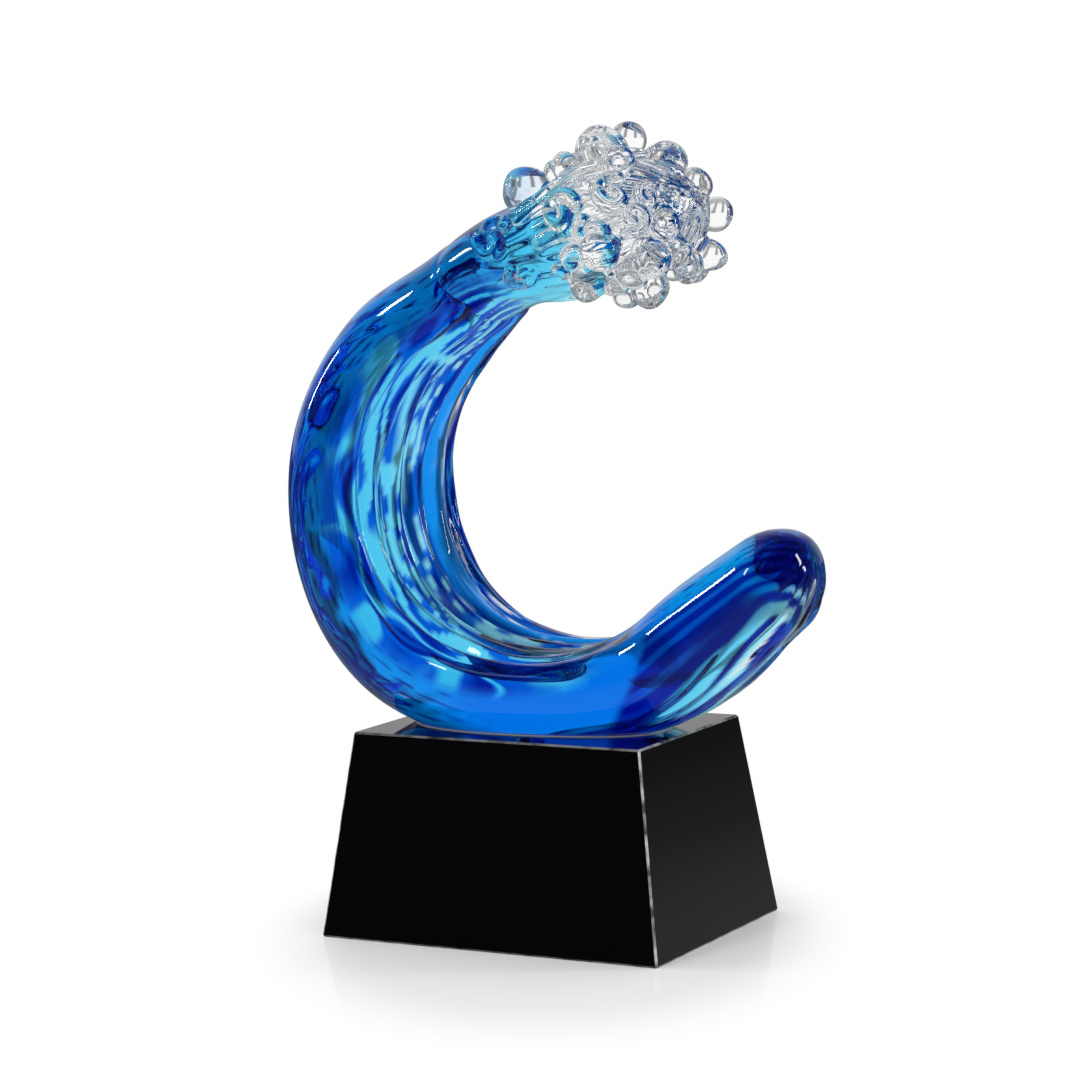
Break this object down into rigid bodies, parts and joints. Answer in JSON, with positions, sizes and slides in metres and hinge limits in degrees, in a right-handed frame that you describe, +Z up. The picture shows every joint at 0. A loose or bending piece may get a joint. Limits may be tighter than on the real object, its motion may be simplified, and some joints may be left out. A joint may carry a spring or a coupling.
{
  "type": "glass wave sculpture",
  "caption": "Art-glass wave on a black crystal block: a curled ring of clear glass cased over a blue core, with a foaming crest of beads, drops and curls.",
  "frame": {"origin": "middle of the base block's underside, on the surface that the sculpture stands on", "axes": "+X along the block's long side, towards the wave's low lobe, +Y from the front to the back, +Z up"},
  "size_m": [0.177, 0.0868, 0.2492],
  "materials": {
    "black_crystal": "polished",
    "clear_adhesive": "clear",
    "clear_glass": "fire polished",
    "blue_glass": "clear cobalt and aqua"
  },
  "bodies": {
    "root": {"base_block": "black_crystal", "blue_core": "blue_glass", "bond_film": "clear_adhesive", "clear_casing": "clear_glass", "crest_gather": "clear_glass", "foam_back_ball": "clear_glass", "foam_back_bead": "clear_glass", "foam_back_cheek_bead": "clear_glass", "foam_back_chin": "clear_glass", "foam_back_curl": "clear_glass", "foam_back_drip": "clear_glass", "foam_back_hook": "clear_glass", "foam_back_knob": "clear_glass", "foam_back_lip_bead": "clear_glass", "foam_back_low_strand": "clear_glass", "foam_back_ridge_bead": "clear_glass", "foam_back_strand": "clear_glass", "foam_back_swirl": "clear_glass", "foam_brow_bead": "clear_glass", "foam_brow_finger": "clear_glass", "foam_brow_knob": "clear_glass", "foam_cheek_bead": "clear_glass", "foam_chin_ball": "clear_glass", "foam_chin_drip": "clear_glass", "foam_crown_curl": "clear_glass", "foam_far_ball": "clear_glass", "foam_front_curl": "clear_glass", "foam_front_drip": "clear_glass", "foam_gap_curl": "clear_glass", "foam_hook_curl": "clear_glass", "foam_inner_curl": "clear_glass", "foam_left_curl": "clear_glass", "foam_left_knob": "clear_glass", "foam_lip_bead": "clear_glass", "foam_lip_drip": "clear_glass", "foam_lower_curl": "clear_glass", "foam_lower_strand": "clear_glass", "foam_nose_bead": "clear_glass", "foam_nose_curl": "clear_glass", "foam_reaching_finger": "clear_glass", "foam_ridge_ball": "clear_glass", "foam_ridge_bead": "clear_glass", "foam_ridge_strand": "clear_glass", "foam_right_bead": "clear_glass", "foam_star_knob": "clear_glass", "foam_tall_knob": "clear_glass", "foam_top_bead": "clear_glass", "foam_top_knob": "clear_glass", "foam_under_drip": "clear_glass", "foam_upper_strand": "clear_glass"}
  },
  "joints": []
}
